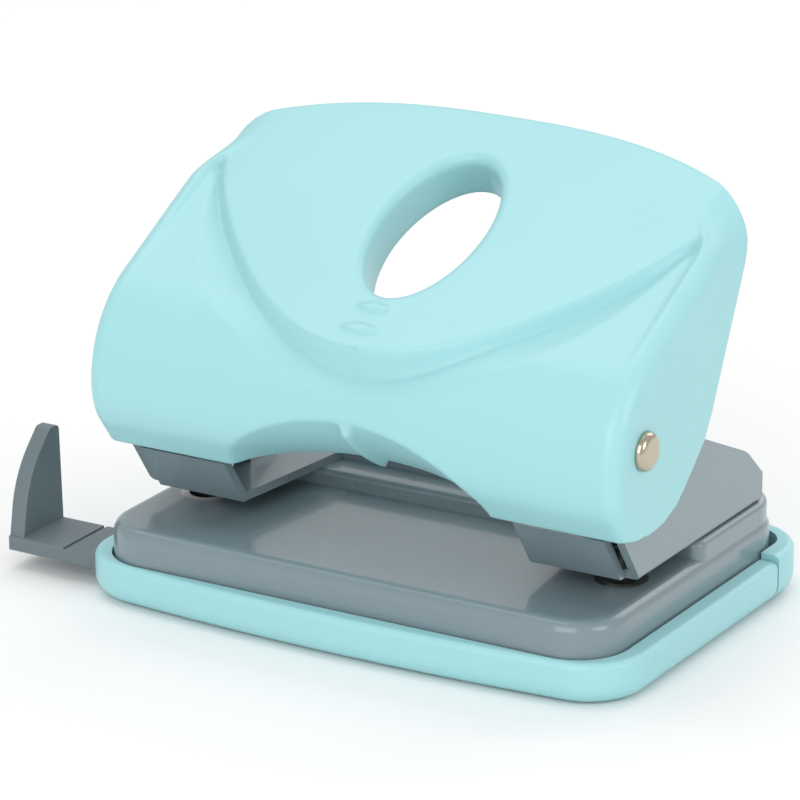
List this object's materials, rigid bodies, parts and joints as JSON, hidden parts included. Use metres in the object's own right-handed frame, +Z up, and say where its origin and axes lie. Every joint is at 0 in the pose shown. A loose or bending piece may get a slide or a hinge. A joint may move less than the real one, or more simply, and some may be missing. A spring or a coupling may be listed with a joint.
{
  "type": "hole punch",
  "caption": "Hand-operated desk punch that makes a pair of filing holes: rounded lever handle, pressed steel base, sprung punch pins, swing-down chip tray and sliding paper guide.",
  "frame": {"origin": "on the desk surface, directly below the point midway between the two dies", "axes": "+X along the row of holes, away from the paper guide; +Y away from the paper side, towards the rear; +Z up"},
  "size_m": [0.1213, 0.0738, 0.0784],
  "materials": {
    "mint_plastic": "satin mint moulded plastic",
    "grey_plastic": "satin slate grey moulded plastic",
    "grey_enamel": "semi-gloss slate grey enamel on pressed steel",
    "tool_steel": "ground tool steel",
    "spring_steel": "bright spring steel",
    "nickel": "polished nickel plate"
  },
  "bodies": {
    "base": {"base_plate": "grey_enamel", "left_die": "tool_steel", "right_die": "tool_steel", "punch_frame": "grey_enamel", "frame_rivets": "nickel", "left_guide_bracket": "spring_steel", "right_guide_bracket": "spring_steel", "guide_bracket_rivets": "nickel", "left_return_spring": "spring_steel", "right_return_spring": "spring_steel", "left_pivot_rivet": "nickel", "right_pivot_rivet": "nickel", "left_pivot_washer": "spring_steel", "right_pivot_washer": "spring_steel", "tray_rear_rail": "mint_plastic"},
    "handle": {"handle_shell": "mint_plastic", "press_bar": "tool_steel"},
    "left_punch": {"left_punch_pin": "tool_steel", "left_retaining_clip": "spring_steel"},
    "right_punch": {"right_punch_pin": "tool_steel", "right_retaining_clip": "spring_steel"},
    "chip_tray": {"chip_tray": "mint_plastic"},
    "paper_guide": {"paper_guide": "grey_plastic"}
  },
  "joints": [
    {"name": "handle_press", "type": "hinge", "parent": "base", "child": "handle", "pos_m": [0, -0.012, 0.0409], "axis": [-1, 0, 0], "range_deg": [0, 30], "stiffness_Nm_per_rad": 0.35, "springref_deg": -34.38},
    {"name": "left_pin_stroke", "type": "slide", "parent": "base", "child": "left_punch", "axis": [0, 0, -1], "range_m": [0, 0.0064], "deforming": ["left_return_spring"]},
    {"name": "right_pin_stroke", "type": "slide", "parent": "base", "child": "right_punch", "axis": [0, 0, -1], "range_m": [0, 0.0064], "deforming": ["right_return_spring"]},
    {"name": "tray_open", "type": "hinge", "parent": "base", "child": "chip_tray", "pos_m": [0, 0.0335, 0.0002], "axis": [1, 0, 0], "range_deg": [0, 60]},
    {"name": "guide_slide", "type": "slide", "parent": "chip_tray", "child": "paper_guide", "axis": [-1, 0, 0], "range_m": [-0.012, 0.02]}
  ],
  "couplings": [
    {"joint": "left_pin_stroke", "follows": "handle_press", "m_per_rad": 0.012223},
    {"joint": "right_pin_stroke", "follows": "handle_press", "m_per_rad": 0.012223}
  ]
}
